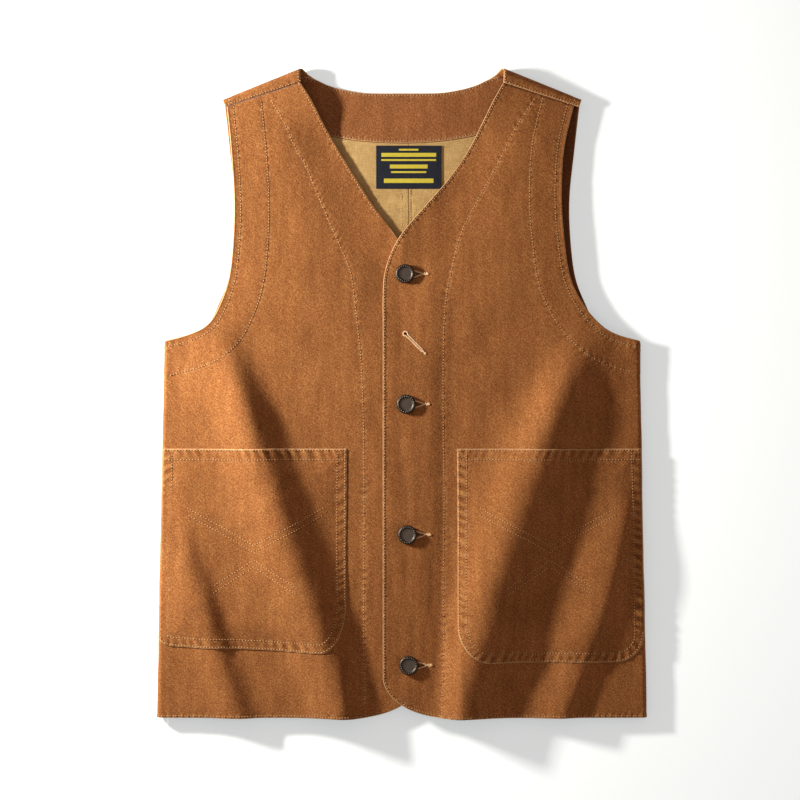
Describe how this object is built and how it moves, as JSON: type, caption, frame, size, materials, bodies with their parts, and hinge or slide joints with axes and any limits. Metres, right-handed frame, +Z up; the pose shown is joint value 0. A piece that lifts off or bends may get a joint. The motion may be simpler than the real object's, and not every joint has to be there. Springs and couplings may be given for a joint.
{
  "type": "work vest",
  "caption": "Sleeveless V-necked work vest of brown canvas, buttoned down the front, with a pale lining and two large patch pockets, lying flat with soft folds.",
  "frame": {"origin": "under the middle of the outline, on the surface that the back lies on", "axes": "+X to the viewer's right, +Y from the hem to the neck, +Z up out of the front"},
  "size_m": [0.5098, 0.677, 0.0308],
  "materials": {
    "canvas": "heathered brown cotton canvas, washed",
    "facing": "brown cotton canvas",
    "lining": "smooth khaki cotton",
    "label": "woven label with plain yellow bars",
    "bronze": "dark antiqued bronze"
  },
  "bodies": {
    "root": {"back": "canvas", "back_lining_left": "lining", "back_lining_right": "lining", "back_neck_facing": "facing", "armhole_facing_left": "facing", "armhole_facing_right": "facing", "neck_label": "label", "front_left": "canvas", "front_right": "canvas", "pocket_left": "canvas", "pocket_right": "canvas", "button_1": "bronze", "button_2": "bronze", "button_3": "bronze", "button_4": "bronze"}
  },
  "joints": []
}
